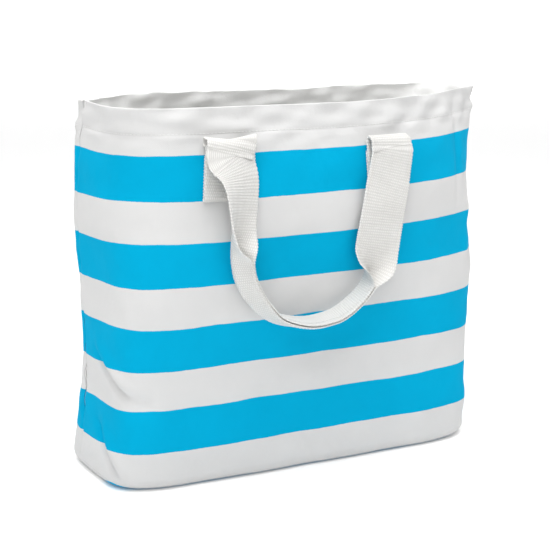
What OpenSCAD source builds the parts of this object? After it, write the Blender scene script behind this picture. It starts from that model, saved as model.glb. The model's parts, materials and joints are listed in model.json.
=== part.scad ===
// Striped canvas beach bag: two sewn panels, a boxed base and two webbing handles.
// X runs across the bag, the front faces -Y, Z is up, and the bag stands on Z = 0.

/* [Bag] */
// Height from the ground to the rim
bag_h = 362; // [300:1:440]
// Width of the base, seam to seam
base_w = 413; // [340:1:500]
// Width of the mouth, seam to seam
mouth_w = 477; // [390:1:575]
// Depth of the base, front to back
base_d = 214; // [175:1:260]
// Depth of the mouth, front to back
mouth_d = 204; // [168:1:246]
// How far the mouth stands to the right of the base
mouth_shift = 38; // [0:1:45]
// How far the mouth has turned on the base, seen from above
mouth_turn = 5; // [0:0.5:8]
// Radius of the soft fold between the base and the walls
base_r = 12; // [8:0.5:16]

/* [Cloth] */
// Thickness of the canvas
cloth_t = 1.2; // [0.8:0.1:1.6]
// Height of the hem that is turned in at the rim
hem_h = 27; // [21:1:34]
// Width of the seam allowances inside the bag
seam_w = 10; // [7:0.5:14]
// Thickness of a finished seam: two layers and the overlock thread
seam_t = 2.8; // [2:0.1:3.6]

/* [Handles] */
// Width of the webbing
web_w = 50; // [40:1:60]
// Thickness of the webbing
web_t = 1.8; // [1.2:0.1:2.4]
// Distance between the two ends of a handle, centre to centre
handle_span = 176; // [146:1:212]
// Where the middle of the front handle is across the bag
front_handle_x = -39; // [-47:1:-30]
// Where the middle of the back handle is across the bag
back_handle_x = 33; // [26:1:40]
// Length of webbing that is sewn to the panel
end_h = 50; // [40:1:70]
// How far the sewn ends stay below the turned-in edge of the hem
end_below = 7; // [1:0.5:20]
// How far the handle hangs below its turn
handle_drop = 179; // [150:1:215]
// Radius of the turn where the handle leaves its sewn end
turn_r = 6; // [5:0.25:8]
// Length of webbing that is folded in half at each side of the middle of the grip
grip_half = 62; // [45:1:72]

/* [Thread] */
// Width of a line of stitches
thread_w = 0.9; // [0.6:0.1:1.2]
// How far a line of stitches stands out
thread_t = 0.4; // [0.3:0.05:0.6]
// Distance from a stitched line to the edge of the webbing
stitch_in = 4; // [3:0.5:6]
// Distance from the hem's line of stitches to its turned-in edge
hem_stitch_in = 3.5; // [2:0.5:6]

/* [Hidden] */

// How the filled-out cloth departs from a straight taper, by share of the height. Pairs of
// tables hold the front first and the back second.
SHIFT_SAG = [[0, 0], [0.25, -3.5], [0.5, -7], [0.75, -14], [1, 0]];
WIDTH_SAG = [[0, 0], [0.25, -8], [0.5, -6.5], [0.75, -6.5], [1, 0]];
DEPTH_SAG = [
    [[0, 0], [0.25, 4], [0.5, 13], [0.75, 24], [1, 6]],
    [[0, 0], [0.25, 20], [0.5, 24], [0.75, 17], [1, -8]]
];
// Squareness of the left and right corners: 2 is an ellipse, more is boxy, less is pinched
LEFT_CORNER = [
    [[0, 6.5], [0.25, 7.5], [0.5, 6.4], [0.75, 3.8], [1, 6.5]],
    [[0, 2.4], [0.25, 1.6], [0.5, 1.5], [0.75, 1.6], [1, 2.1]]
];
RIGHT_CORNER = [
    [[0, 6.4], [0.25, 4.9], [0.5, 3.2], [0.75, 2.2], [1, 1.4]],
    [[0, 6.2], [0.25, 6.5], [0.5, 6.5], [0.75, 6.2], [1, 6]]
];
FRONT = 0;
BACK = 1;

columns = 32;
wall_rows = 10;
fit_gap = 0.3;
seam_gap = 0.5;
hem_z = bag_h - hem_h;
end_top = hem_z - end_below;
base_mid = (mouth_shift / 2 - mouth_shift) * 0.75;

white = "whitesmoke";
natural = "ivory";

// ---- The shape of the bag ----

function share(z) = max(0, min(1, z / bag_h));
function mid_x(z) = base_mid + mouth_shift * share(z) + lookup(share(z), SHIFT_SAG);
function half_w(z) = (base_w + (mouth_w - base_w) * share(z)) / 2 + lookup(share(z), WIDTH_SAG);
function half_d(side, z) =
    (base_d + (mouth_d - base_d) * share(z)) / 2 + lookup(share(z), DEPTH_SAG[side]);
function corner(side, q, z) = lookup(share(z), q < 0 ? LEFT_CORNER[side] : RIGHT_CORNER[side]);
function away(side) = side == FRONT ? -1 : 1;
function turned(p) =
    let (t = mouth_turn * share(p[2]))
    [p[0] * cos(t) - p[1] * sin(t), p[0] * sin(t) + p[1] * cos(t), p[2]];

// A point of a wall at an angle that runs from the left seam (0) to the right seam (180)
function wall(side, angle, z, inset) =
    let (c = -cos(angle), n = corner(side, c, z))
    turned([
        mid_x(z) + (half_w(z) - inset) * sign(c) * pow(abs(c), 2 / n),
        away(side) * (half_d(side, z) - inset) * pow(max(sin(angle), 0), 2 / n),
        z
    ]);

// A face as a depth over x, and a point that stands off it along its normal
function face_y(side, x, z) =
    let (q = (x - mid_x(z)) / half_w(z), n = corner(side, q, z))
    away(side) * half_d(side, z) * pow(max(0, 1 - pow(abs(q), n)), 1 / n);
function face_lean(side, x, z) = (face_y(side, x + 1, z) - face_y(side, x - 1, z)) / 2;
function off_face(side, x, z, off) =
    let (lean = face_lean(side, x, z), step = away(side) * off / sqrt(1 + lean * lean))
    turned([x - step * lean, face_y(side, x, z) + step, z]);

// ---- Closed skins over two grids of points, a back face and a front face ----

// Diagonals lean away from the middle column, so that no triangle at a corner is flat
function quad(a, b, d, e, left) = left ? [[a, b, e], [a, e, d]] : [[a, b, d], [b, e, d]];
function flipped(faces) = [for (f = faces) [f[0], f[2], f[1]]];
function grid_faces(rows, cols, base, flip) = [
    for (r = [0:rows - 2], c = [0:cols - 2])
    let (a = base + r * cols + c, d = a + cols, q = quad(a, a + 1, d, d + 1, c < cols / 2 - 1))
    each flip ? flipped(q) : q
];
function rim_faces(rows, cols) =
    let (n = rows * cols, last = (rows - 1) * cols)
    [
        for (c = [0:cols - 2]) each [[c, n + c, c + 1], [c + 1, n + c, n + c + 1]],
        for (c = [0:cols - 2])
        let (a = last + c)
        each [[a, a + 1, n + a], [a + 1, n + a + 1, n + a]],
        for (r = [0:rows - 2])
        let (a = r * cols, b = a + cols)
        each [[a, b, n + a], [b, n + b, n + a]],
        for (r = [0:rows - 2])
        let (a = r * cols + cols - 1, b = a + cols)
        each [[a, n + a, b], [b, n + a, n + b]]
    ];
module skin(back, front) {
    rows = len(back);
    cols = len(back[0]);
    points = [for (row = back) each row, for (row = front) each row];
    faces = concat(
        grid_faces(rows, cols, 0, false),
        grid_faces(rows, cols, rows * cols, true),
        rim_faces(rows, cols)
    );
    polyhedron(points = points, faces = faces, convexity = 8);
}

// A bar through a list of four-cornered sections; a closed bar joins its last section to its first
module bar(sections, closed) {
    n = len(sections);
    last = closed ? n - 1 : n - 2;
    sides = [
        for (i = [0:last], k = [0:3])
        let (a = i * 4 + k, b = i * 4 + (k + 1) % 4, j = (i + 1) % n)
        let (d = j * 4 + k, e = j * 4 + (k + 1) % 4)
        each [[a, b, d], [b, e, d]]
    ];
    m = (n - 1) * 4;
    ends = closed ? [] : [[0, 2, 1], [0, 3, 2], [m, m + 1, m + 2], [m, m + 2, m + 3]];
    polyhedron(points = [for (s = sections) each s], faces = concat(sides, ends), convexity = 8);
}

// ---- Panels: half of the base, the fold and the wall, with the hem turned in at the top ----

function column_angles(side) = [for (i = [0:columns]) 90 - away(side) * 180 * (i / columns - 0.5)];
floor_share = [0, 0.5, 1];
fold_angles = [30, 60, 90];
row_heights = concat(
    [for (i = [1:wall_rows]) base_r + (hem_z - base_r) * i / wall_rows],
    [hem_z + 1, hem_z + hem_h / 2, bag_h]
);

function floor_row(side, f, off) = [
    for (angle = column_angles(side))
    let (edge = wall(side, angle, 0, base_r), inner = mid_x(0) + 0.6 * half_w(0) * (angle / 90 - 1))
    [inner + (edge[0] - inner) * f, edge[1] * f, off]
];
function fold_row(side, fold, off) = [
    for (angle = column_angles(side))
    let (r = base_r - off)
    wall(side, angle, base_r - r * cos(fold), base_r - r * sin(fold))
];
function wall_row(side, z, off) = [for (angle = column_angles(side)) wall(side, angle, z, off)];
function panel_rows(side, off, hem_off) = [
    for (f = floor_share) floor_row(side, f, off),
    for (fold = fold_angles) fold_row(side, fold, off),
    for (z = row_heights) wall_row(side, z, z > hem_z ? hem_off : off)
];

module panel(side) {
    outer = panel_rows(side, 0, 0);
    inner = panel_rows(side, cloth_t, 2 * cloth_t);
    color(white) skin(inner, outer);
}
module front_panel() {
    panel(FRONT);
}
module back_panel() {
    panel(BACK);
}

// ---- Seam allowances inside the bag ----

// A seam allowance stands in from its seam, as a strip between the seam and a free edge
module side_seam(angle) {
    low = base_r + seam_t;
    high = hem_z - seam_gap;
    inner = cloth_t + seam_gap;
    heights = [for (i = [0:wall_rows]) low + (high - low) * i / wall_rows];
    sections = [
        for (z = heights)
        let (t = mouth_turn * share(z), across = [-sin(t), cos(t), 0] * seam_t / 2)
        let (edge = wall(FRONT, angle, z, inner), free = wall(FRONT, angle, z, inner + seam_w))
        angle < 90
            ? [edge - across, edge + across, free + across, free - across]
            : [edge + across, edge - across, free - across, free + across]
    ];
    color(white) bar(sections, false);
}
module left_side_seam() {
    side_seam(0);
}
module right_side_seam() {
    side_seam(180);
}

// It lies on the base along the end of the floor, as far as the rounded corners let it
module corner_seam(q) {
    reach = half_w(0) - base_r;
    outer = reach - seam_w / 2;
    ends = [
        for (side = [FRONT, BACK])
        let (n = corner(side, q, 0))
        (half_d(side, 0) - base_r) * pow(1 - pow(outer / reach, n), 1 / n) - seam_w / 2
    ];
    color(white)
    translate([mid_x(0) + q * (outer - seam_w / 2) - seam_w / 2, -ends[FRONT], cloth_t + seam_gap])
    cube([seam_w, ends[FRONT] + ends[BACK], seam_t]);
}
module left_corner_seam() {
    corner_seam(-1);
}
module right_corner_seam() {
    corner_seam(1);
}

module bottom_seam() {
    length = base_w - 2 * base_r - 4 * seam_w;
    color(white)
    translate([mid_x(0), 0, cloth_t + seam_gap + seam_t / 2])
    cube([length, seam_w, seam_t], center = true);
}

// ---- Hem stitching: one line of thread all round, just above the turned-in edge ----

module hem_stitching() {
    z = hem_z + hem_stitch_in;
    corners = [[0, -0.5], [1, -0.5], [1, 0.5], [0, 0.5]];
    half_turns = [for (i = [0:columns - 1]) 180 * i / columns];
    sections = [
        for (side = [FRONT, BACK], angle = half_turns)
        let (a = side == FRONT ? angle : 180 - angle)
        [for (k = corners) wall(side, a, z + k[1] * thread_w, -fit_gap / 3 - k[0] * thread_t)]
    ];
    color(white) bar(sections, true);
}

// ---- Sewn ends of the handles: the webbing with its cut end turned under ----

end_cols = 8;
end_rows = 4;
end_t = 2 * web_t;
end_z = end_top - end_h;
handle_x = [front_handle_x, back_handle_x];
function end_x(side, q) = handle_x[side] + q * handle_span / 2;

function end_layer(side, x, off) = [
    for (r = [0:end_rows])
    [
        for (c = [0:end_cols])
        let (across = -away(side) * web_w * (c / end_cols - 0.5))
        off_face(side, x + across, end_z + end_h * r / end_rows, off)
    ]
];
module handle_end(side, q) {
    x = end_x(side, q);
    color(natural)
    skin(end_layer(side, x, fit_gap), end_layer(side, x, fit_gap + end_t));
}
module front_left_handle_end() {
    handle_end(FRONT, -1);
}
module front_right_handle_end() {
    handle_end(FRONT, 1);
}
module back_left_handle_end() {
    handle_end(BACK, -1);
}
module back_right_handle_end() {
    handle_end(BACK, 1);
}

// ---- Box stitching: a rectangle of stitches and a cross inside it ----

// A straight line of stitches on a sewn end, from one point of its face to another
module stitch_line(side, x, from, to) {
    steps = 6;
    run = to - from;
    across = [-run[1], run[0]] / norm(run) * thread_w / 2 * -away(side);
    low = fit_gap + end_t + 0.05;
    high = low + thread_t;
    sections = [
        for (s = [0:steps])
        let (p = from + run * s / steps, a = p + across, b = p - across)
        [
            off_face(side, x + a[0], a[1], low),
            off_face(side, x + b[0], b[1], low),
            off_face(side, x + b[0], b[1], high),
            off_face(side, x + a[0], a[1], high)
        ]
    ];
    bar(sections, false);
}
module box_stitch(side, q) {
    x = end_x(side, q);
    x1 = web_w / 2 - stitch_in;
    z0 = end_z + stitch_in;
    z1 = end_top - stitch_in;
    zm = (z0 + z1) / 2;
    g = 2 * thread_w;
    color(white) {
        stitch_line(side, x, [-x1, z0], [x1, z0]);
        stitch_line(side, x, [-x1, z1], [x1, z1]);
        stitch_line(side, x, [-x1, z0 + g], [-x1, z1 - g]);
        stitch_line(side, x, [x1, z0 + g], [x1, z1 - g]);
        stitch_line(side, x, [-x1 + g, z0 + g], [x1 - g, z1 - g]);
        stitch_line(side, x, [-x1 + g, z1 - g], [-g, zm + g]);
        stitch_line(side, x, [g, zm - g], [x1 - g, z0 + g]);
    }
}
module front_left_box_stitch() {
    box_stitch(FRONT, -1);
}
module front_right_box_stitch() {
    box_stitch(FRONT, 1);
}
module back_left_box_stitch() {
    box_stitch(BACK, -1);
}
module back_right_box_stitch() {
    box_stitch(BACK, 1);
}

// ---- Handles: webbing that turns over at its sewn ends, hangs as a U and is folded at the grip ----

// The swing axis lies midway between the sewn webbing and the hanging webbing. Its height
// keeps the webbing's length the same with the handle down and with the handle up.
axis_off = fit_gap + end_t - web_t / 2 + turn_r;
turn_drop = PI / 2 * turn_r;
axis_z = end_top + turn_drop;
function axis_end(side, q) = off_face(side, end_x(side, q), end_top, axis_off);
function axis_mid(side) =
    let (mid = (axis_end(side, -1) + axis_end(side, 1)) / 2)
    [mid[0], mid[1], axis_z];
function axis_angle(side) =
    let (run = (axis_end(side, 1) - axis_end(side, -1)) * -away(side))
    atan2(run[1], run[0]);
axis_half = handle_span / 2;

// The hanging handle leans out far enough to clear the bulge of the panel behind it
function stand_out(side, x, z) =
    let (p = off_face(side, x, z, fit_gap + end_t) - axis_mid(side), a = axis_angle(side))
    p[0] * sin(a) - p[1] * cos(a) + 2 * fit_gap - (turn_r - web_t / 2);
lean_steps = 8;
function lean(side) = max([
    for (i = [-lean_steps:lean_steps], k = [1:lean_steps])
    let (x = handle_x[side] + (handle_span + web_w) * i / lean_steps / 2)
    let (z = end_top - handle_drop * k / lean_steps)
    asin(max(0, stand_out(side, x, z)) / (axis_z - z))
]);

first_turn = 30;
turn_steps = 6;
hang_steps = 30;
hang_power = 2.5;
fold_w = 4.4;
across_steps = [-web_w / 2, -web_w / 4, -fold_w / 2, -fold_w / 4, 0,
    fold_w / 4, fold_w / 2, web_w / 4, web_w / 2];

// Each station is [point, run, face normal, share of the fold], in the handle's own frame
function turn_station(side, angle) = [
    [side * axis_half, turn_r * cos(angle), turn_r * sin(angle) - turn_drop],
    [0, side * sin(angle), -side * cos(angle)],
    [0, cos(angle), sin(angle)],
    0
];
function hang_point(angle) = [
    -axis_half * sign(cos(angle)) * pow(abs(cos(angle)), 2 / hang_power),
    -turn_r,
    -turn_drop - handle_drop * pow(max(sin(angle), 0), 2 / hang_power)
];
function smooth(v) =
    let (s = max(0, min(1, v)))
    s * s * (3 - 2 * s);
function unit(v) = v / norm(v);
function hang_station(angle) =
    let (p = hang_point(angle), run = unit(hang_point(angle + 1) - hang_point(angle - 1)))
    let (grip_start = -turn_drop - handle_drop + grip_half)
    [p, run, [0, -1, 0], smooth((grip_start - p[2]) / (grip_half / 2) + 1)];

hang_angles = [for (i = [1:hang_steps - 1]) 180 * i / hang_steps];
stations = [
    for (i = [0:turn_steps]) turn_station(-1, first_turn + (180 - first_turn) * i / turn_steps),
    for (angle = hang_angles) hang_station(angle),
    for (i = [turn_steps:-1:0]) turn_station(1, first_turn + (180 - first_turn) * i / turn_steps)
];

// A point of the webbing at a distance from its centre line, lifted off its middle surface
function web_point(station, w, lift) =
    let (bend = 180 * station[3] + 0.01, side = cross(station[2], station[1]))
    let (k = bend / fold_w, held = max(-fold_w / 2, min(fold_w / 2, w)), psi = k * held)
    let (radius = 1 / (k * PI / 180), straight = w - held)
    let (x = radius * sin(psi) + straight * cos(psi) - lift * sin(psi))
    let (d = radius * (1 - cos(psi)) + straight * sin(psi) + lift * cos(psi))
    station[0] + side * x + station[2] * d;

module place_handle(side) {
    translate(axis_mid(side))
    rotate([0, 0, axis_angle(side)])
    rotate([-lean(side), 0, 0])
    children();
}
module handle(side) {
    outer = [for (s = stations) [for (w = across_steps) web_point(s, w, web_t / 2)]];
    inner = [for (s = stations) [for (w = across_steps) web_point(s, w, -web_t / 2)]];
    color(natural) place_handle(side) skin(outer, inner);
}

// Two lines of stitches hold the grip folded, one on each outer face near the edges
module grip_line(q) {
    folded = [for (s = stations) if (s[3] > 0.995) s];
    low = -web_t / 2 - 0.05;
    high = low - thread_t;
    w = q * (web_w / 2 - stitch_in);
    half = q * thread_w / 2;
    sections = [
        for (s = folded)
        let (a = web_point(s, w - half, low), b = web_point(s, w + half, low))
        let (c = web_point(s, w + half, high), d = web_point(s, w - half, high))
        q > 0 ? [a, b, c, d] : [a, d, c, b]
    ];
    bar(sections, false);
}
module grip_stitching(side) {
    color(white)
    place_handle(side) {
        grip_line(-1);
        grip_line(1);
    }
}
module front_handle() {
    handle(FRONT);
}
module front_grip_stitching() {
    grip_stitching(FRONT);
}
module back_handle() {
    handle(BACK);
}
module back_grip_stitching() {
    grip_stitching(BACK);
}

front_panel();
back_panel();
left_side_seam();
right_side_seam();
left_corner_seam();
right_corner_seam();
bottom_seam();
hem_stitching();
front_left_handle_end();
front_right_handle_end();
back_left_handle_end();
back_right_handle_end();
front_left_box_stitch();
front_right_box_stitch();
back_left_box_stitch();
back_right_box_stitch();
front_handle();
front_grip_stitching();
back_handle();
back_grip_stitching();
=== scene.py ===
"""Looks of the striped canvas beach bag: cloth, hem, webbing handles, stitches and materials."""

import json
import math

import bpy
import numpy as np
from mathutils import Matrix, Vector


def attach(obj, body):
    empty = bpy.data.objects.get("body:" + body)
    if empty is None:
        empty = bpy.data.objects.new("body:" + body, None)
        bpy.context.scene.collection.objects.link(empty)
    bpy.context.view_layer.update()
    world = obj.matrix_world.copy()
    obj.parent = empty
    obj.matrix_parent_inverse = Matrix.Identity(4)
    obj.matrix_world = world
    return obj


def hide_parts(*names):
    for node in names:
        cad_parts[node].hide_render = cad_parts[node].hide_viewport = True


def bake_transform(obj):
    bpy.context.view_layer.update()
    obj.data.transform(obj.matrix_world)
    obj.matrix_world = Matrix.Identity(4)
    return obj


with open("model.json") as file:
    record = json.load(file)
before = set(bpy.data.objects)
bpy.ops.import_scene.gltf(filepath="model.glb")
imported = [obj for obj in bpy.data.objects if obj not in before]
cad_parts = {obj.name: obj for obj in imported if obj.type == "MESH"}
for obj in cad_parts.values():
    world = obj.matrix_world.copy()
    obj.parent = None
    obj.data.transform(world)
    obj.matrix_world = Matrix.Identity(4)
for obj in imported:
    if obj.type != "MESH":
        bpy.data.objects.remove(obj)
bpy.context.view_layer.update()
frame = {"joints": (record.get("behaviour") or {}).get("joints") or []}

MM = 0.001
FRONT, BACK = 0, 1
OUT = (-1.0, 1.0)
SIDE_NAMES = ("front", "back")

# ---- The shape of the standing bag, in millimetres ----

BAG_H = 362.0
BASE_R = 12.0
CLOTH_T = 1.3
HEM_Z = 335.0
HEM_STITCH_Z = 339.0
MOUTH_TURN = 5.0
# Length of cloth from one side seam to the other
HALF_GIRTH = 590.0

LEFT_EDGE = [-221, -215, -218, -224, -215]
RIGHT_EDGE = [192, 198, 214, 224, 262]
DEPTH = ([107, 110, 119, 129, 110], [107, 128, 129, 121, 94])
LEFT_CORNER = ([6.6, 7.6, 6.4, 3.8, 6.4], [2.4, 1.6, 1.5, 1.6, 2.1])
RIGHT_CORNER = ([6.4, 4.9, 3.2, 2.2, 1.4], [6.2, 6.5, 6.5, 6.2, 6.0])


def table(values, share):
    """Cubic through values at even shares of the height."""
    v = np.asarray(values, float)
    slope = np.gradient(v)
    t = np.clip(share, 0, 1) * (len(v) - 1)
    i = np.minimum(t.astype(int), len(v) - 2)
    f = t - i
    return (
        v[i] * (1 + 2 * f) * (1 - f) ** 2
        + slope[i] * f * (1 - f) ** 2
        + v[i + 1] * f * f * (3 - 2 * f)
        - slope[i + 1] * f * f * (1 - f)
    )


def smooth(lo, hi, v):
    t = np.clip((np.asarray(v, float) - lo) / (hi - lo), 0, 1)
    return t * t * (3 - 2 * t)


def bell(v, width):
    return np.exp(-((np.asarray(v, float) / width) ** 2))


def turned(points):
    """Points turned with the mouth, which has twisted on the base."""
    t = np.radians(MOUTH_TURN) * np.clip(points[..., 2] / BAG_H, 0, 1)
    out = points.copy()
    out[..., 0] = points[..., 0] * np.cos(t) - points[..., 1] * np.sin(t)
    out[..., 1] = points[..., 0] * np.sin(t) + points[..., 1] * np.cos(t)
    return out


def numbers_at(z):
    share = np.asarray(z, float) / BAG_H
    left, right = table(LEFT_EDGE, share), table(RIGHT_EDGE, share)
    depth = [table(d, share) for d in DEPTH]
    corners = [[table(c[s], share) for c in (LEFT_CORNER, RIGHT_CORNER)] for s in (FRONT, BACK)]
    return (left + right) / 2, (right - left) / 2, depth, corners


def halves(z, columns, inset=0.0):
    """Front and back halves of the bag's outline at height z, evenly spaced along the cloth."""
    mid, half, depth, corners = numbers_at(z)
    half = half - inset
    turn = np.linspace(0, 1, 720, endpoint=False)
    loop = []
    for side in (FRONT, BACK):
        angle = np.pi * (turn if side == FRONT else 1 - turn)
        c, s = -np.cos(angle), np.sin(angle)
        n = np.where(c < 0, corners[side][0], corners[side][1])
        d = depth[side] - inset
        r = ((np.abs(c) / half) ** n + (np.abs(s) / d) ** n) ** (-1 / n)
        loop.append(np.stack([mid + r * c, OUT[side] * r * s], 1))
    loop = np.concatenate(loop)
    kernel = np.exp(-(np.arange(-6, 7) / 3.0) ** 2)
    kernel /= kernel.sum()
    wrapped = np.concatenate([loop[-6:], loop, loop[:6]])
    loop = np.stack([np.convolve(wrapped[:, k], kernel, "valid") for k in (0, 1)], 1)
    out = []
    for line in (loop[:721], np.concatenate([loop[720:], loop[:1]])[::-1]):
        run = np.concatenate([[0], np.cumsum(np.linalg.norm(np.diff(line, axis=0), axis=1))])
        even = np.linspace(0, run[-1], columns + 1)
        out.append(np.stack([np.interp(even, run, line[:, k]) for k in (0, 1)], 1))
    return out


# ---- Folds and creases of the cloth ----

def waves(s, h, count, lengths, seed):
    """Low soft waves: a sum of sines in random directions."""
    pick = np.random.default_rng(seed)
    total = np.zeros(np.broadcast(s, h).shape)
    for _ in range(count):
        length = pick.uniform(*lengths)
        a = pick.uniform(0, np.pi)
        p = pick.uniform(0, 2 * np.pi)
        total += np.sin(2 * np.pi * (s * np.cos(a) + h * np.sin(a)) / length + p)
    return total / math.sqrt(count)


def crease(s, h, start, end, width, amount):
    """A fold along a line of the cloth that fades towards both ends."""
    a, b = np.array(start, float), np.array(end, float)
    run = b - a
    length = np.linalg.norm(run)
    u = ((s - a[0]) * run[0] + (h - a[1]) * run[1]) / length**2
    v = ((s - a[0]) * -run[1] + (h - a[1]) * run[0]) / length
    along = smooth(-0.15, 0.3, u) * (1 - smooth(0.7, 1.15, u))
    return amount * along * bell(v, width)


# (start, end, width, amount) on the cloth of each panel: s from the left seam, h above the ground
CREASES = (
    [
        ((30, 128), (92, 90), 4.5, -4.8),
        ((36, 138), (100, 98), 6, 3.2),
        ((78, 98), (122, 84), 6, -3.0),
        ((34, 58), (90, 6), 4.5, -5.6),
        ((46, 64), (102, 12), 8, 3.4),
        ((4, 300), (46, 260), 12, -1.0),
        ((494, 352), (472, 250), 7, -3.0),
        ((506, 260), (482, 180), 9, 2.2),
        ((20, 352), (70, 344), 5, -0.8),
        ((90, 357), (150, 346), 5, 0.7),
        ((300, 350), (360, 357), 5, -0.7),
        ((520, 356), (575, 345), 6, -1.0),
    ],
    [
        ((20, 140), (90, 80), 9, -2.6),
        ((10, 230), (80, 190), 12, 1.6),
        ((500, 150), (570, 90), 9, -1.6),
        ((120, 356), (190, 346), 6, 1.2),
        ((300, 346), (360, 357), 6, -1.4),
        ((420, 352), (470, 345), 6, 1.2),
    ],
)


def relief(side, s, h, length):
    """How far the cloth stands off its plain shape, in millimetres."""
    d = 1.1 * waves(s, 1.5 * h, 7, (90, 190), 11 + side)
    d += 0.42 * waves(s, h, 9, (26, 60), 23 + side)
    d += 0.10 * waves(s, h, 9, (9, 20), 31 + side)
    hem = smooth(HEM_Z - 16, HEM_Z + 6, h)
    d += hem * 1.15 * waves(s, 1.8 * h, 9, (16, 46), 41 + side)
    d -= 0.55 * bell(h - HEM_STITCH_Z, 1.6) * smooth(0, 30, h)
    for c in CREASES[side]:
        d += crease(s, h, *c)
    edge = np.minimum(s, length - s)
    pucker = 1 + 0.5 * np.sin(h / 4.1) * bell(edge, 9)
    d -= 2.2 * bell(edge, 3.2) * pucker * smooth(0, 20, h)
    d *= 0.25 + 0.75 * smooth(-5, 26, h)
    return d


# ---- Panels ----

COLUMNS = 260
FLOOR = np.linspace(0, 1, 7)[:-1]
FOLD = np.radians(np.linspace(0, 90, 8)[:-1])
WALL_H = np.concatenate(
    [
        np.arange(BASE_R, 330, 3.2),
        np.arange(330, 342, 1.2),
        np.arange(342.5, 359, 2.2),
        [360.2, 361.0, 361.6, 362.0],
    ]
)


def panel_grid(side):
    """Outer surface of a panel as rows of points, with the cloth coordinates (s, h) of each."""
    rows, cloth = [], []
    edge = halves(0.0, COLUMNS, BASE_R)[side]
    mid, half = (LEFT_EDGE[0] + RIGHT_EDGE[0]) / 2, (RIGHT_EDGE[0] - LEFT_EDGE[0]) / 2
    share = np.linspace(-1, 1, COLUMNS + 1)
    inner = np.stack([mid + 0.62 * half * share, 0 * share], 1)
    fold_length = BASE_R * np.pi / 2
    seam_run = np.linspace(0, HALF_GIRTH, COLUMNS + 1)
    for f in FLOOR:
        p = inner + (edge - inner) * f
        rows.append(np.column_stack([p, np.zeros(COLUMNS + 1)]))
        cloth.append(
            np.column_stack([seam_run, BASE_R - fold_length - np.linalg.norm(edge - p, axis=1)])
        )
    for a in FOLD:
        z = BASE_R - BASE_R * np.cos(a)
        p = halves(z, COLUMNS, BASE_R * (1 - np.sin(a)))[side]
        rows.append(np.column_stack([p, np.full(COLUMNS + 1, z)]))
        cloth.append(
            np.column_stack([seam_run, np.full(COLUMNS + 1, BASE_R - (np.pi / 2 - a) * BASE_R)])
        )
    for z in WALL_H:
        p = halves(z, COLUMNS)[side]
        rows.append(np.column_stack([p, np.full(COLUMNS + 1, z)]))
        cloth.append(np.column_stack([seam_run, np.full(COLUMNS + 1, z)]))
    cloth = np.array(cloth)
    s, h = cloth[..., 0], cloth[..., 1]
    low = 1 - smooth(-2, 14, h)
    cloth[..., 1] = h + low * (3.5 - 12.0 * bell(s - 74, 16) * (side == FRONT))
    return turned(np.array(rows)), cloth


def grid_normals(points, outward):
    down, across = np.gradient(points, axis=0), np.gradient(points, axis=1)
    n = np.cross(across, down) * outward
    n /= np.linalg.norm(n, axis=2, keepdims=True) + 1e-12
    return n


def rim_lift(side, s):
    """The rim isn't quite level: it rises at the seams and dips beside the handles."""
    if side == FRONT:
        return 2.6 * bell(s, 26) + 2.2 * bell(s - 520, 60) - 1.0 * bell(s - 300, 70)
    return 1.6 * bell(s - 150, 60) - 1.4 * bell(s - 330, 60) + 2.6 * bell(s, 26)


def new_mesh(name, points, faces, attributes=None):
    mesh = bpy.data.meshes.new(name)
    mesh.from_pydata([tuple(p) for p in points * MM], [], faces)
    mesh.update()
    for key, values in (attributes or {}).items():
        attribute = mesh.attributes.new(key, "FLOAT_VECTOR", "POINT")
        attribute.data.foreach_set("vector", np.asarray(values, np.float32).ravel())
    mesh.polygons.foreach_set("use_smooth", np.ones(len(mesh.polygons), bool))
    obj = bpy.data.objects.new(name, mesh)
    bpy.context.scene.collection.objects.link(obj)
    return obj


def strip_faces(rows, cols, first=0, closed_rows=False, flip=False):
    r = np.arange(rows if closed_rows else rows - 1)
    c = np.arange(cols - 1)
    a = first + r[:, None] * cols + c[None, :]
    b = first + ((r[:, None] + 1) % rows) * cols + c[None, :]
    quads = np.stack([a, a + 1, b + 1, b], -1).reshape(-1, 4)
    if flip:
        quads = quads[:, ::-1]
    return quads.tolist()


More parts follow.
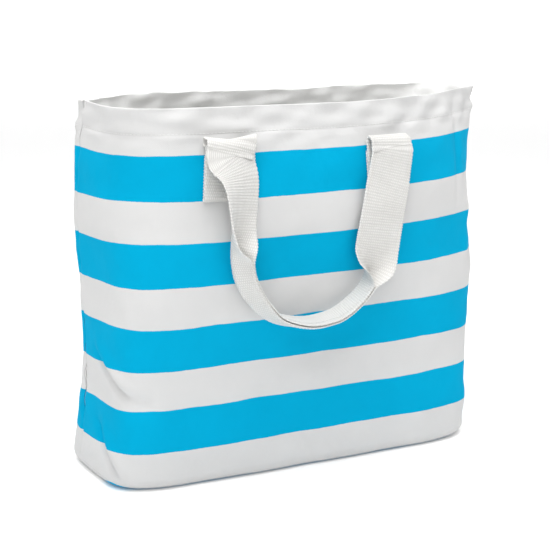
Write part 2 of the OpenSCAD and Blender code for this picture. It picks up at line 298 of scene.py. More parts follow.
def make_panel(side):
    points, cloth = panel_grid(side)
    normals = grid_normals(points, OUT[side])
    if (normals[len(FLOOR) + len(FOLD) + 20, COLUMNS // 2] @ [0, OUT[side], 0]) < 0:
        normals = -normals
    normals[: len(FLOOR)] = [0.0, 0.0, -1.0]
    s, h = cloth[..., 0], cloth[..., 1]
    points = points + normals * relief(side, s, h, HALF_GIRTH)[..., None]
    points[..., 2] += rim_lift(side, s) * smooth(250, 362, h)
    points[..., 2] = np.maximum(points[..., 2], 0.15 * smooth(0, -20, h))
    top = len(points) - 1
    hem_row = int(np.argmin(np.abs(h[:, 0] - HEM_Z)))
    path = [(r, 0.0, 0.0) for r in range(top)]
    path += [(top, -0.4, 0.1), (top, -1.3, 0.35), (top, -2.2, 0.1)]
    hem_in = 2 * CLOTH_T + 0.25
    path += [(r, -hem_in, 0.0) for r in range(top - 1, hem_row - 1, -1)]
    path += [(hem_row, -hem_in + 0.3, -0.5), (hem_row, -CLOTH_T - 0.3, -0.6)]
    path += [(r, -CLOTH_T, 0.0) for r in range(hem_row - 1, -1, -1)]
    grid, coords = [], []
    for k, (r, off, lift) in enumerate(path):
        p = points[r] + normals[r] * off
        p[:, 2] += lift
        grid.append(p)
        inside = 0.0 if k < top + 1 else 1.0
        coords.append(np.column_stack([s[r], h[r], np.full(COLUMNS + 1, inside)]))
    grid, coords = np.array(grid), np.array(coords)
    rows, cols = grid.shape[:2]
    faces = strip_faces(rows, cols, closed_rows=True, flip=side == BACK)
    n = rows * cols
    for c, turn in ((0, side == BACK), (cols - 1, side == FRONT)):
        for k in range(rows // 2):
            a, b = k * cols + c, (k + 1) * cols + c
            d, e = (rows - 1 - k) * cols + c, (rows - 2 - k) * cols + c
            if len({a, b, d, e}) == 4:
                q = [a, b, e, d]
                faces.append(q if turn else q[::-1])
    obj = new_mesh(
        SIDE_NAMES[side] + "_cloth", grid.reshape(n, 3), faces, {"cloth": coords.reshape(n, 3)}
    )
    return obj, points, normals, cloth


panels = [make_panel(side) for side in (FRONT, BACK)]


def on_cloth(side, s, h):
    """Point and outward normal of the finished cloth at cloth coordinates."""
    _, points, normals, cloth = panels[side]
    heights = cloth[:, 0, 1]
    first = len(FLOOR)
    r = np.interp(h, heights[first:], np.arange(first, len(heights)))
    c = np.clip(np.asarray(s, float) / HALF_GIRTH, 0, 1) * COLUMNS
    r0, c0 = np.minimum(r.astype(int), len(points) - 2), np.minimum(c.astype(int), COLUMNS - 1)
    fr, fc = (r - r0)[..., None], (c - c0)[..., None]

    def mix(g):
        return (g[r0, c0] * (1 - fc) + g[r0, c0 + 1] * fc) * (1 - fr) + (
            g[r0 + 1, c0] * (1 - fc) + g[r0 + 1, c0 + 1] * fc
        ) * fr

    n = mix(normals)
    return mix(points), n / np.linalg.norm(n, axis=-1, keepdims=True)


def section_frame(points):
    """Inverse of turned(): where a point is across the bag."""
    t = -np.radians(MOUTH_TURN) * np.clip(points[..., 2] / BAG_H, 0, 1)
    return points[..., 0] * np.cos(t) - points[..., 1] * np.sin(t)


def s_at(side, x, z):
    """Cloth coordinate s of the place that is x across the bag at height z."""
    s = np.linspace(0, HALF_GIRTH, 400)
    p, _ = on_cloth(side, s, np.full(400, float(z)))
    return np.interp(x, section_frame(p), s)


def off_cloth(side, x, z, off):
    """Point that stands off the cloth at x across the bag and height z, and its normal."""
    out, normal = [], []
    for xi, zi, oi in zip(x, z, off):
        s = s_at(side, xi, min(zi, 360.0))
        p, n = on_cloth(side, np.array([s]), np.array([min(zi, 360.0)]))
        n = n[0] * [1, 1, 0]
        n /= np.linalg.norm(n)
        p = p[0] + n * oi
        p[2] = zi
        out.append(p)
        normal.append(n)
    return np.array(out), np.array(normal)


# ---- Webbing ----

# Webbing: width, thickness, spacing of its ribs
WEB_W, WEB_T, RIB = 50.0, 1.9, 2.6
# The folded grip: how far it turns over, in degrees, and how tightly
FOLD_TURN = 201.0
FOLD_RADIUS = 4.3
# Points across each face of the webbing
ACROSS = 44


def spline(knots, count):
    """Even points along a Catmull-Rom curve through knots, which may carry extra columns."""
    k = np.asarray(knots, float)
    k = np.concatenate([[2 * k[0] - k[1]], k, [2 * k[-1] - k[-2]]])
    out = []
    for i in range(1, len(k) - 2):
        t = np.linspace(0, 1, 24, endpoint=False)[:, None]
        a, b, c, d = k[i - 1], k[i], k[i + 1], k[i + 2]
        out.append(
            0.5
            * (
                2 * b
                + (c - a) * t
                + (2 * a - 5 * b + 4 * c - d) * t**2
                + (3 * b - a - 3 * c + d) * t**3
            )
        )
    out = np.concatenate(out + [k[-2:-1]])
    run = np.concatenate([[0], np.cumsum(np.linalg.norm(np.diff(out[:, :3], axis=0), axis=1))])
    if count is None:
        count = int(run[-1] / RIB * 5)
    even = np.linspace(0, run[-1], count)
    return np.stack([np.interp(even, run, out[:, j]) for j in range(out.shape[1])], 1), even


def rib_height(run, w):
    """Ribs of the weave: one bump for each weft thread, broken up by the warp."""
    rib = np.abs(np.cos(np.pi * run / RIB))
    warp = 0.5 + 0.5 * np.cos(2 * np.pi * w / 2.6 + np.pi * np.floor(run / RIB + 0.5))
    return -0.45 * (1 - rib**1.3) + 0.24 * warp


def webbing(name, stations, run, fold_radius=FOLD_RADIUS):
    """A strap along stations, whose columns are point, tangent, width, face normal and fold."""
    p, width, face = stations[:, 0:3], stations[:, 6:9], stations[:, 9:12]
    fold = np.clip(stations[:, 12], 0, 1)
    w = np.linspace(-1, 1, ACROSS + 1)
    w = np.sign(w) * np.abs(w) ** 0.9 * WEB_W / 2
    ring, coords = [], []
    sides = [(w, 1.0), (w[::-1], -1.0)]
    for ww, lift_sign in sides:
        edge = np.clip((WEB_W / 2 - np.abs(ww)) / 0.9, 0, 1)
        rounding = np.sqrt(np.clip(1 - (1 - edge) ** 2, 0, 1))
        bump = rib_height(run[:, None], ww[None, :])
        lift = lift_sign * (WEB_T / 2 + bump) * (0.25 + 0.75 * rounding)[None, :]
        scallop = 0.35 * np.cos(2 * np.pi * run / RIB)[:, None] * (1 - edge)[None, :]
        wv = ww[None, :] + np.sign(ww)[None, :] * scallop
        bend = math.radians(FOLD_TURN) * fold[:, None] + 1e-4
        tight = smooth(0.3, 0.95, fold)[:, None]
        zone = 34.0 * (1 - tight) + fold_radius * math.radians(FOLD_TURN) * tight
        held = np.clip(wv, -zone / 2, zone / 2)
        psi = bend / zone * held
        radius = zone / bend
        straight = wv - held
        x = radius * np.sin(psi) + straight * np.cos(psi) - lift * np.sin(psi)
        d = radius * (1 - np.cos(psi)) + straight * np.sin(psi) + lift * np.cos(psi)
        ring.append(
            p[:, None, :] + width[:, None, :] * x[..., None] + face[:, None, :] * d[..., None]
        )
        coords.append(
            np.stack([wv, np.broadcast_to(run[:, None], wv.shape), lift_sign + 0 * wv], -1)
        )
    grid, coords = np.concatenate(ring, 1), np.concatenate(coords, 1)
    rows, cols = grid.shape[:2]
    r, c = np.arange(rows - 1), np.arange(cols)
    a = r[:, None] * cols + c[None, :]
    b = r[:, None] * cols + (c[None, :] + 1) % cols
    faces = np.stack([a, b, b + cols, a + cols], -1).reshape(-1, 4).tolist()
    half = cols // 2
    last = (rows - 1) * cols
    for k in range(half - 1):
        faces.append([k, cols - 1 - k, cols - 2 - k, k + 1])
        faces.append([last + k, last + k + 1, last + cols - 2 - k, last + cols - 1 - k])
    return new_mesh(name, grid.reshape(-1, 3), faces, {"weave": coords.reshape(-1, 3)})


def frames(points, faces_hint, roll, fold):
    """Stations for webbing(): the face hint is turned about the run by roll, in degrees."""
    tangent = np.gradient(points, axis=0)
    tangent /= np.linalg.norm(tangent, axis=1, keepdims=True)
    face = faces_hint - tangent * np.sum(faces_hint * tangent, 1, keepdims=True)
    face /= np.linalg.norm(face, axis=1, keepdims=True)
    width = np.cross(face, tangent)
    a = np.radians(roll)[:, None]
    face, width = face * np.cos(a) + width * np.sin(a), width * np.cos(a) - face * np.sin(a)
    return np.column_stack([points, tangent, width, face, fold])


# x across the bag, height, distance off the cloth, roll, fold: the middle of the webbing, which
# becomes the crease of the folded grip
FRONT_PATH = [
    (-126, 311, 12, 13, 0.00),
    (-122.5, 301, 14, 21, 0.02),
    (-121.5, 289, 14.5, 29, 0.07),
    (-122.5, 274, 14.5, 35, 0.15),
    (-124.5, 259, 13.5, 38, 0.28),
    (-126.5, 246, 12.5, 39, 0.50),
    (-127, 235, 11.5, 38, 0.80),
    (-126, 226, 11, 37, 0.96),
    (-124, 217, 10, 36, 1.00),
    (-120, 205, 9, 33, 1.00),
    (-110, 189, 8, 28, 1.00),
    (-94, 173, 8, 17, 1.00),
    (-74, 162, 8, 3, 1.00),
    (-43, 156, 8, -7, 1.00),
    (-18, 158, 8, -10, 1.00),
    (-4, 163, 8, -10, 1.00),
    (9, 172, 8, -7, 1.00),
    (18, 180, 8, -3, 1.00),
    (25, 189, 8, 0, 0.97),
    (29, 198, 8.5, 2, 0.74),
    (31.5, 207, 9, 4, 0.36),
    (33.5, 216, 9, 5, 0.12),
    (35.5, 228, 9, 5, 0.02),
    (39.5, 262, 9, 5, 0.00),
    (46, 290, 9, 5, 0.00),
]
BACK_PATH = [
    (106, 292, 9, 0, 0.04),
    (100, 262, 9, 0, 0.10),
    (97, 236, 9, 0, 0.25),
    (96, 216, 9, 2, 0.75),
    (93, 200, 9, 6, 1.00),
    (84, 184, 9, 10, 1.00),
    (66, 170, 9, 6, 1.00),
    (36, 163, 9, 0, 1.00),
    (6, 168, 9, -6, 1.00),
    (-14, 182, 9, -8, 1.00),
    (-24, 198, 9, -4, 0.95),
    (-28, 212, 9, 0, 0.50),
    (-30, 228, 9, 0, 0.12),
    (-34, 262, 9, 0, 0.02),
    (-42, 292, 9, 0, 0.00),
]
# For each end of a handle: where it is sewn, how high, its lean, where the webbing hangs beside
# it, and how high and far out the turn reaches
HANDLES = (
    dict(
        path=FRONT_PATH,
        left=dict(x=-125, top=325.5, lean=3, hang=-129.5, loop=7.5, reach=11.5, yaw=8),
        right=dict(x=50, top=321, lean=0, hang=50, loop=7.0, reach=12.0, yaw=-5),
    ),
    dict(
        path=BACK_PATH,
        left=dict(x=119, top=324, lean=0, hang=117, loop=7.5, reach=10.5, yaw=0),
        right=dict(x=-55, top=324, lean=0, hang=-53, loop=7.5, reach=10.5, yaw=0),
    ),
)
END_H = 47.0


def turn_knots(leg):
    """The turn over the top of a sewn end, from the cloth out to the hanging webbing."""
    x, top, loop, reach = leg["x"], leg["top"], leg["loop"], leg["reach"]
    drift = leg["hang"] - x
    shape = [
        (0.0, 0, 2.7, 0),
        (0.0, loop * 0.35, 3.0, 0),
        (0.1, loop * 0.8, 4.6, 0),
        (0.3, loop, 7.4, 0),
        (0.6, loop * 0.5, reach - 0.6, 0.6),
        (0.9, -3, reach, 1),
        (1.0, -8, reach, 1),
    ]
    return [(x + drift * k, top + dz, off, 0, 0, leg["yaw"] * r) for k, dz, off, r in shape]


def handle_stations(side):
    spec = HANDLES[side]
    left, right = spec["left"], spec["right"]
    path = [(*k, 0) for k in spec["path"]]
    knots = np.array(turn_knots(left) + path + turn_knots(right)[::-1], float)
    place, normal = off_cloth(side, knots[:, 0], knots[:, 1], knots[:, 2])
    c, k = np.cos(np.radians(knots[:, 5])), np.sin(np.radians(knots[:, 5]))
    across, out = normal[:, 0].copy(), normal[:, 1].copy()
    normal[:, 0], normal[:, 1] = across * c - out * k, across * k + out * c
    rows, run = spline(np.column_stack([place, normal, knots[:, 3:5]]), None)
    points, hint = rows[:, :3], rows[:, 3:6]
    tangent = np.gradient(points, axis=0)
    tangent /= np.linalg.norm(tangent, axis=1, keepdims=True)
    # Over the turns the face follows the run; the width keeps to the cloth's level direction
    level = np.cross(np.broadcast_to([0.0, 0.0, 1.0], hint.shape), hint)
    level /= np.linalg.norm(level, axis=1, keepdims=True)
    first_half = np.arange(len(points))[:, None] < len(points) // 2
    width = np.where(first_half, level, -level)
    width = width - tangent * np.sum(width * tangent, 1, keepdims=True)
    over = np.cross(tangent, width)
    over /= np.linalg.norm(over, axis=1, keepdims=True)
    flat = hint - tangent * np.sum(hint * tangent, 1, keepdims=True)
    flat /= np.linalg.norm(flat, axis=1, keepdims=True) + 1e-9
    high = smooth(235, 285, points[:, 2])[:, None]
    return frames(points, flat * (1 - high) + over * high, rows[:, 6], rows[:, 7]), run


def sewn_end(side, q, leg):
    """The end of a handle, folded under and sewn flat on the cloth."""
    x, top = leg["x"], leg["top"]
    low = top - END_H
    lean = math.tan(math.radians(leg["lean"]))
    knots = []
    for z, off in ((top - 8, 1.0), (low + 12, 1.0), (low + 2.5, 1.0), (low + 0.2, 1.9),
                   (low + 2.5, 3.0), (low + 14, 3.0), (low + 34, 3.0), (top - 6, 3.0),
                   (top + 1.5, 3.2)):
        knots.append((x + lean * (z - top), z, off))
    knots = np.array(knots)
    place, normal = off_cloth(side, knots[:, 0], knots[:, 1], knots[:, 2])
    rows, run = spline(np.column_stack([place, normal]), None)
    points, hint = rows[:, :3], rows[:, 3:6]
    level = np.cross(np.broadcast_to([0.0, 0.0, 1.0], hint.shape), hint)
    tangent = np.gradient(points, axis=0)
    tangent /= np.linalg.norm(tangent, axis=1, keepdims=True)
    level = level - tangent * np.sum(level * tangent, 1, keepdims=True)
    face = np.cross(tangent, level)
    fold = np.zeros(len(points))
    stations = frames(points, face, fold, fold)
    return webbing(f"{SIDE_NAMES[side]}_{q}_webbing_end", stations, run)


# ---- Stitches ----

def capsules(name, starts, ends, lifts, radius, sink=0.35):
    """Threads lying on a surface from starts to ends, as one mesh of little curved capsules."""
    rings, around = 7, 6
    t = np.linspace(0, 1, rings)
    profile = np.sqrt(np.clip(1 - (2 * t - 1) ** 6, 0, 1)) * 0.92 + 0.08
    arch = np.sin(np.pi * t) - sink
    angle = 2 * np.pi * np.arange(around) / around
    run = ends - starts
    length = np.linalg.norm(run, axis=1, keepdims=True)
    run = run / length
    side = np.cross(run, lifts)
    side /= np.linalg.norm(side, axis=1, keepdims=True)
    n = len(starts)
    pts = np.zeros((n, rings, around, 3))
    for k in range(rings):
        centre = starts + (ends - starts) * t[k] + lifts * radius * (0.2 + 0.9 * arch[k])
        r = radius * profile[k]
        for j in range(around):
            pts[:, k, j] = centre + r * (side * math.cos(angle[j]) + lifts * math.sin(angle[j]))
    base = np.arange(n)[:, None] * rings * around
    faces = []
    quads = []
    for k in range(rings - 1):
        for j in range(around):
            a, b = k * around + j, k * around + (j + 1) % around
            quads.append([a, b, b + around, a + around])
    caps = [list(range(around))[::-1], [(rings - 1) * around + j for j in range(around)]]
    for i in range(n):
        o = int(base[i, 0])
        faces += [[o + v for v in q] for q in quads]
        faces += [[o + v for v in q] for q in caps]
    flat = pts.reshape(-1, 3)
    coords = np.column_stack([np.tile(np.repeat(t, around), n) * 3, flat[:, 2], flat[:, 0]])
    return new_mesh(name, flat, faces, {"thread": coords})


def stitch_run(points, normals, stitch=3.2, gap=0.9):
    """Starts, ends and lifts of the stitches along a line of points."""
    run = np.concatenate([[0], np.cumsum(np.linalg.norm(np.diff(points, axis=0), axis=1))])
    count = max(1, int(run[-1] / (stitch + gap)))
    step = run[-1] / count
    a = np.arange(count) * step + gap / 2
    b = a + step - gap

    def at(v, g):
        return np.stack([np.interp(v, run, g[:, k]) for k in range(3)], 1)

    lifts = at((a + b) / 2, normals)
    return at(a, points), at(b, points), lifts / np.linalg.norm(lifts, axis=1, keepdims=True)


def hem_stitches():
    lines = []
    for side in (FRONT, BACK):
        s = np.linspace(4, 586, 900)
        p, n = on_cloth(side, s, np.full(900, HEM_STITCH_Z))
        lines.append(stitch_run(p + n * 0.1, n, 3.0, 0.8))
    return capsules("hem_stitches", *[np.concatenate(c) for c in zip(*lines)], 0.34)


def box_stitches(side, q, leg):
    x, top = leg["x"], leg["top"]
    low = top - END_H
    lean = math.tan(math.radians(leg["lean"]))
    a, z0, z1 = WEB_W / 2 - 4, low + 5, top - 5
    corners = [(-a, z0), (a, z0), (a, z1), (-a, z1), (-a, z0)]
    lines = list(zip(corners[:-1], corners[1:])) + [((-a, z0), (a, z1)), ((-a, z1), (a, z0))]
    parts = []
    for (x0, za), (x1, zb) in lines:
        t = np.linspace(0, 1, 30)
        z = za + (zb - za) * t
        xs = x + lean * (z - top) + x0 + (x1 - x0) * t
        p, n = off_cloth(side, xs, z, np.full(30, 3.0 + WEB_T / 2 + 0.12))
        parts.append(stitch_run(p, n, 2.8, 0.9))
    return capsules(
        f"{SIDE_NAMES[side]}_{q}_box_stitches", *[np.concatenate(c) for c in zip(*parts)], 0.36
    )


def grip_stitches(side, stations, radius=FOLD_RADIUS):
    """Two lines of stitches near the edges of the folded grip, one on each outer face."""
    held = stations[:, 12] > 0.985
    p, width, face = stations[held, 0:3], stations[held, 6:9], stations[held, 9:12]
    parts = []
    bend = math.radians(FOLD_TURN)
    zone = radius * bend
    for q in (-1, 1):
        w = q * (WEB_W / 2 - 4.5)
        psi = bend / 2 * q
        straight = w - q * zone / 2
        lift = -(WEB_T / 2 + 0.1)
        x = radius * math.sin(psi) + straight * math.cos(psi) - lift * math.sin(psi)
        d = radius * (1 - math.cos(psi)) + straight * math.sin(psi) + lift * math.cos(psi)
        line = p + width * x + face * d
        normal = width * math.sin(psi) - face * math.cos(psi)
        parts.append(stitch_run(line, normal, 3.0, 1.0))
    return capsules(
        SIDE_NAMES[side] + "_grip_stitches", *[np.concatenate(c) for c in zip(*parts)], 0.36
    )


# ---- Seam allowances inside the bag ----

def seam_strip(name, points, inward, width=10.0, thick=2.4):
    """A turned-in seam allowance: a soft strip that stands in from a seam."""
    n = len(points)
    tangent = np.gradient(points, axis=0)
    tangent /= np.linalg.norm(tangent, axis=1, keepdims=True)
    across = np.cross(tangent, inward)
    across /= np.linalg.norm(across, axis=1, keepdims=True)
    profile = [(0.2, -0.5), (0.2, 0.5), (0.5, 0.55), (0.9, 0.45), (1.0, 0.2), (1.0, -0.2),
               (0.9, -0.45), (0.5, -0.55)]
    sway = np.sin(np.arange(n) * 0.35)[:, None] * 1.2
    pts = np.stack(
        [points + inward * (u * width) + across * (v * thick + sway * u) for u, v in profile], 1
    )
    m = len(profile)
    faces = []
    for i in range(n - 1):
        for j in range(m):
            a, b = i * m + j, i * m + (j + 1) % m
            faces.append([a, b, b + m, a + m])
    faces.append(list(range(m))[::-1])
    faces.append([(n - 1) * m + j for j in range(m)])
    flat = pts.reshape(-1, 3)
    coords = np.column_stack([flat[:, 0] + flat[:, 1], flat[:, 2], np.ones(len(flat))])
    return new_mesh(name, flat, faces, {"cloth": coords})


def side_seams():
    made = []
    for name, s, q in (("left", 0.0, 1), ("right", HALF_GIRTH, -1)):
        h = np.linspace(18, 332, 60)
        p, _ = on_cloth(FRONT, np.full(60, s), h)
        t = np.radians(MOUTH_TURN) * h / BAG_H
        inward = np.column_stack([q * np.cos(t), q * np.sin(t), 0 * t])
        made.append(seam_strip(name + "_seam_allowance", p + inward * 2.0, inward))
    return made


def base_seams():
    mid = (LEFT_EDGE[0] + RIGHT_EDGE[0]) / 2
    half = (RIGHT_EDGE[0] - LEFT_EDGE[0]) / 2
    up = np.array([0.0, 0.0, 1.0])
    x = np.linspace(mid - half * 0.60, mid + half * 0.60, 60)
    line = np.column_stack([x, 0 * x, 0 * x + 1.2])
    made = [seam_strip("base_seam_allowance", line, np.broadcast_to(up, line.shape), 8.0)]
    for name, q, front, back in (("left", -1, 78, 36), ("right", 1, 70, 76)):
        y = np.linspace(-front, back, 40)
        line = np.column_stack([0 * y + mid + q * (half - 22), y, 0 * y + 1.4])
        made.append(
            seam_strip(name + "_corner_allowance", line, np.broadcast_to(up, line.shape), 8.0)
        )
    return made


# ---- Materials ----

def material(name, roughness):
    m = bpy.data.materials.new(name)
    m.use_nodes = True
    tree = m.node_tree
    tree.nodes.clear()
    out = tree.nodes.new("ShaderNodeOutputMaterial")
    shader = tree.nodes.new("ShaderNodeBsdfPrincipled")
    shader.inputs["Roughness"].default_value = roughness
    shader.inputs["Specular IOR Level"].default_value = 0.03
    tree.links.new(shader.outputs[0], out.inputs[0])
    return m, tree, shader


def node(tree, kind, **settings):
    n = tree.nodes.new(kind)
    for key, value in settings.items():
        if key in n.inputs:
            n.inputs[key].default_value = value
        else:
            setattr(n, key, value)
    return n


def maths(tree, operation, a, b=None, c=None):
    n = tree.nodes.new("ShaderNodeMath")
    n.operation = operation
    for i, v in enumerate((a, b, c)):
        if v is None:
            continue
        if isinstance(v, (int, float)):
            n.inputs[i].default_value = v
        else:
            tree.links.new(v, n.inputs[i])
    return n.outputs[0]


def mix_colour(tree, factor, a, b):
    n = tree.nodes.new("ShaderNodeMix")
    n.data_type = "RGBA"
    for socket, v in ((n.inputs[0], factor), (n.inputs[6], a), (n.inputs[7], b)):
        if isinstance(v, (int, float)):
            socket.default_value = v
        elif isinstance(v, tuple):
            socket.default_value = (*v, 1)
        else:
            tree.links.new(v, socket)
    return n.outputs[2]


def ramp(tree, value, lo, hi):
    n = tree.nodes.new("ShaderNodeMapRange")
    n.interpolation_type = "SMOOTHSTEP"
    n.inputs["From Min"].default_value = lo
    n.inputs["From Max"].default_value = hi
    tree.links.new(value, n.inputs["Value"])
    return n.outputs["Result"]


def noise(tree, vector, scale, detail=2.0):
    n = node(tree, "ShaderNodeTexNoise", Scale=scale, Detail=detail)
    tree.links.new(vector, n.inputs["Vector"])
    return n.outputs[0]


def canvas_material():
    m, tree, shader = material("striped_canvas", 0.85)
    attribute = node(tree, "ShaderNodeAttribute", attribute_name="cloth")
    split = node(tree, "ShaderNodeSeparateXYZ")
    tree.links.new(attribute.outputs["Vector"], split.inputs[0])
    s, h, inside = split.outputs
    wobble = noise(tree, attribute.outputs["Vector"], 0.035, 2.0)
    fray = noise(tree, attribute.outputs["Vector"], 1.1, 1.0)
    wander = maths(tree, "MULTIPLY", maths(tree, "SUBTRACT", wobble, 0.5), 1.6)
    ragged = maths(tree, "MULTIPLY", maths(tree, "SUBTRACT", fray, 0.5), 0.7)
    height = maths(tree, "ADD", maths(tree, "ADD", h, wander), ragged)
    phase = maths(tree, "MODULO", maths(tree, "ADD", height, 400 - 38.5), 80)
    blue = maths(tree, "MULTIPLY", ramp(tree, phase, -0.3, 0.3), ramp(tree, phase, 41.8, 41.2))
    blue = maths(tree, "MULTIPLY", blue, ramp(tree, height, 340, 339))
    blue = maths(tree, "MULTIPLY", blue, maths(tree, "SUBTRACT", 1.0, inside))
    mottle = noise(tree, attribute.outputs["Vector"], 0.02, 4.0)
    grain = noise(tree, attribute.outputs["Vector"], 0.9, 3.0)
    white = mix_colour(tree, mottle, (0.63, 0.628, 0.625), (0.69, 0.688, 0.682))
    # Painted light: the inside of the cloth, seam allowances included, gets a lighter white that
    # stands in for the light falling inside the bag
    white = mix_colour(tree, inside, white, (0.86, 0.86, 0.85))
    sky = mix_colour(tree, mottle, (0.0005, 0.355, 0.60), (0.001, 0.405, 0.67))
    colour = mix_colour(tree, blue, white, sky)
    dark = mix_colour(tree, blue, (0.5, 0.5, 0.5), (0.0, 0.24, 0.43))
    colour = mix_colour(tree, maths(tree, "MULTIPLY", grain, 0.12), colour, dark)
    tree.links.new(colour, shader.inputs["Base Color"])
    # Plain weave: two sets of threads that pass over and under one another
    u = maths(tree, "MULTIPLY", s, 2 * math.pi / 1.5)
    v = maths(tree, "MULTIPLY", h, 2 * math.pi / 1.5)
    weave = maths(tree, "MULTIPLY", maths(tree, "SINE", u), maths(tree, "SINE", v))
    slub = noise(tree, attribute.outputs["Vector"], 0.35, 4.0)
    weave = maths(tree, "MULTIPLY", weave, 0.5)
    height = maths(tree, "ADD", weave, maths(tree, "MULTIPLY", slub, 1.6))
    bump = node(tree, "ShaderNodeBump", Strength=0.35, Distance=0.00035)
    tree.links.new(height, bump.inputs["Height"])
    tree.links.new(bump.outputs[0], shader.inputs["Normal"])
    return m


def webbing_material():
    m, tree, shader = material("cotton_webbing", 0.8)
    attribute = node(tree, "ShaderNodeAttribute", attribute_name="weave")
    split = node(tree, "ShaderNodeSeparateXYZ")
    tree.links.new(attribute.outputs["Vector"], split.inputs[0])
    w, run, _ = split.outputs
    mottle = noise(tree, attribute.outputs["Vector"], 0.05, 3.0)
    yarn = noise(tree, attribute.outputs["Vector"], 1.6, 3.0)
    colour = mix_colour(tree, mottle, (0.80, 0.79, 0.765), (0.88, 0.87, 0.85))
    colour = mix_colour(tree, maths(tree, "MULTIPLY", yarn, 0.16), colour, (0.64, 0.63, 0.605))
    # Painted shade: the grooves between the ribs and the dips between the weave's dots are
    # darkened in the colour
    phase = maths(tree, "MULTIPLY", run, math.pi / RIB)
    groove_shade = maths(tree, "ABSOLUTE", maths(tree, "SINE", phase))
    dot_shade = maths(tree, "SINE", maths(tree, "MULTIPLY", w, 2 * math.pi / 2.1))
    dot_shade = maths(tree, "MULTIPLY", dot_shade, maths(tree, "COSINE", phase))
    dot_shade = maths(tree, "MULTIPLY", ramp(tree, dot_shade, 0.1, 0.9), 0.42)
    groove_shade = maths(tree, "MULTIPLY", maths(tree, "POWER", groove_shade, 3.0), 0.34)
    groove_shade = maths(tree, "ADD", groove_shade, dot_shade)
    colour = mix_colour(tree, groove_shade, colour, (0.44, 0.43, 0.41))
    tree.links.new(colour, shader.inputs["Base Color"])
    u = maths(tree, "SINE", maths(tree, "MULTIPLY", w, 2 * math.pi / 1.3))
    v = maths(tree, "SINE", maths(tree, "MULTIPLY", run, 2 * math.pi / 1.35))
    height = maths(tree, "ADD", maths(tree, "MULTIPLY", u, v), maths(tree, "MULTIPLY", yarn, 1.2))
    bump = node(tree, "ShaderNodeBump", Strength=0.6, Distance=0.0003)
    tree.links.new(height, bump.inputs["Height"])
    tree.links.new(bump.outputs[0], shader.inputs["Normal"])
    return m


def thread_material():
    m, tree, shader = material("sewing_thread", 0.7)
    attribute = node(tree, "ShaderNodeAttribute", attribute_name="thread")
    twist = noise(tree, attribute.outputs["Vector"], 0.8, 2.0)
    colour = mix_colour(tree, twist, (0.68, 0.68, 0.675), (0.80, 0.80, 0.79))
    tree.links.new(colour, shader.inputs["Base Color"])
    bump = node(tree, "ShaderNodeBump", Strength=0.3, Distance=0.0001)
    tree.links.new(twist, bump.inputs["Height"])
    tree.links.new(bump.outputs[0], shader.inputs["Normal"])
    return m


canvas, web, thread = canvas_material(), webbing_material(), thread_material()


def dress(obj, finish, slot, body, *nodes):
    obj.data.materials.append(finish)
    if body:
        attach(obj, body)
    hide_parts(*nodes)
    return obj


# ---- Putting the bag together ----

for side in (FRONT, BACK):
    cloth = dress(panels[side][0], canvas, "canvas", "bag", SIDE_NAMES[side] + "_panel")

left_seam, right_seam = side_seams()
base_seam, left_corner, right_corner = base_seams()
dress(left_seam, canvas, "canvas", "bag", "left_side_seam")
dress(right_seam, canvas, "canvas", "bag", "right_side_seam")
dress(base_seam, canvas, "canvas", "bag", "bottom_seam")
dress(left_corner, canvas, "canvas", "bag", "left_corner_seam")
dress(right_corner, canvas, "canvas", "bag", "right_corner_seam")
dress(hem_stitches(), thread, "thread", "bag", "hem_stitching")

joints = {j["child"]: j for j in frame["joints"]}
for side in (FRONT, BACK):
    name = SIDE_NAMES[side]
    spec = HANDLES[side]
    body = name + "_handle"
    # The CAD names the ends as seen from the front, HANDLES as seen from the handle's own side
    named = ("left", "right") if side == FRONT else ("right", "left")
    for leg_name, q in zip(("left", "right"), named):
        leg = spec[leg_name]
        dress(sewn_end(side, q, leg), web, "webbing", "bag", f"{name}_{q}_handle_end")
        dress(box_stitches(side, q, leg), thread, "thread", "bag", f"{name}_{q}_box_stitch")
    stations, run = handle_stations(side)
    strap = dress(webbing(body + "_strap", stations, run), web, "webbing", None, body)
    joint = joints[body]
    axis, pivot = Vector(joint["axis"]), Vector(joint["pos_m"])
    outward = Vector((0, 0, 1)).cross(axis)
    outward.normalize()
    if outward.y * OUT[side] < 0:
        outward = -outward
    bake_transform(strap)
    dress(grip_stitches(side, stations), thread, "thread", body, name + "_grip_stitching")

# ---- Floor, light and camera ----

def stage_plane(name, corners, finish):
    mesh = bpy.data.meshes.new(name)
    mesh.from_pydata(corners, [], [(0, 1, 2, 3)])
    obj = bpy.data.objects.new(name, mesh)
    bpy.context.scene.collection.objects.link(obj)
    mesh.materials.append(finish)


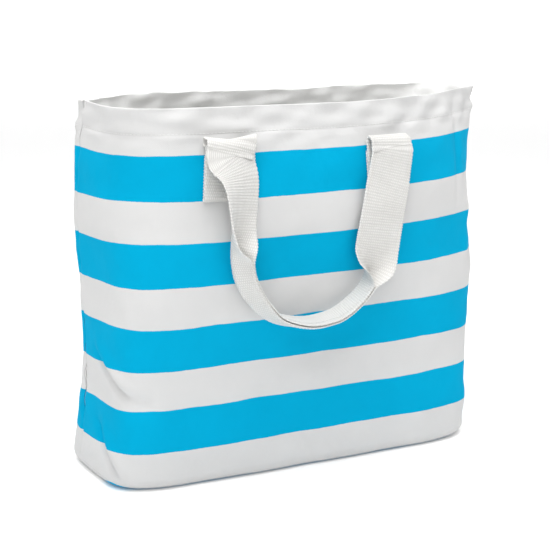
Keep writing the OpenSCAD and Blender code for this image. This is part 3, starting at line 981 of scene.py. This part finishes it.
def backdrop():
    """A white floor and, far behind the bag, a lit white wall."""
    finish, _, shader = material("studio_floor", 0.9)
    shader.inputs["Base Color"].default_value = (0.93, 0.93, 0.93, 1)
    shader.inputs["Emission Color"].default_value = (1, 1, 1, 1)
    shader.inputs["Emission Strength"].default_value = 0.10
    e = 20
    stage_plane("floor", [(-e, -e, -5e-4), (e, -e, -5e-4), (e, e, -5e-4), (-e, e, -5e-4)], finish)
    finish, _, shader = material("studio_wall", 0.9)
    shader.inputs["Base Color"].default_value = (0.8, 0.8, 0.8, 1)
    shader.inputs["Emission Color"].default_value = (1, 1, 1, 1)
    shader.inputs["Emission Strength"].default_value = 1.0
    away = Vector((0.47, 0.88, 0)) * 5
    along = Vector((0.88, -0.47, 0)) * 14
    up = Vector((0, 0, 8))
    low, high = away - along, away + along
    stage_plane("wall", [tuple(low), tuple(high), tuple(high + up), tuple(low + up)], finish)


def area_light(name, position, target, size, power):
    light = bpy.data.lights.new(name, "AREA")
    light.shape = "RECTANGLE"
    light.size, light.size_y = size
    light.energy = power
    obj = bpy.data.objects.new(name, light)
    bpy.context.scene.collection.objects.link(obj)
    obj.location = position
    obj.rotation_mode = "QUATERNION"
    direction = Vector(target) - Vector(position)
    obj.rotation_quaternion = direction.to_track_quat("-Z", "Y")


backdrop()
world = bpy.data.worlds.new("studio")
world.use_nodes = True
world.node_tree.nodes["Background"].inputs[0].default_value = (1, 1, 1, 1)
world.node_tree.nodes["Background"].inputs[1].default_value = 0.40
bpy.context.scene.world = world
area_light("key", (-1.4, -1.75, 2.4), (0, 0, 0.2), (1.8, 1.8), 30)
area_light("top", (-0.2, -0.4, 2.2), (0, 0, 0), (2.0, 2.0), 44)

camera = bpy.data.cameras.new("camera")
camera.lens = 91.5
camera.sensor_width = 36
eye = bpy.data.objects.new("camera", camera)
bpy.context.scene.collection.objects.link(eye)
CAMERA_TARGET = Vector((0, 0, 0.1743))
turn, rise, reach = math.radians(28.0), math.radians(11.28), 1.4629
back = Vector((-math.sin(turn) * math.cos(rise), -math.cos(turn) * math.cos(rise), math.sin(rise)))
eye.location = CAMERA_TARGET + back * reach
eye.rotation_mode = "QUATERNION"
eye.rotation_quaternion = (-back).to_track_quat("-Z", "Y")
bpy.context.scene.camera = eye
bpy.context.scene.view_settings.view_transform = "Standard"
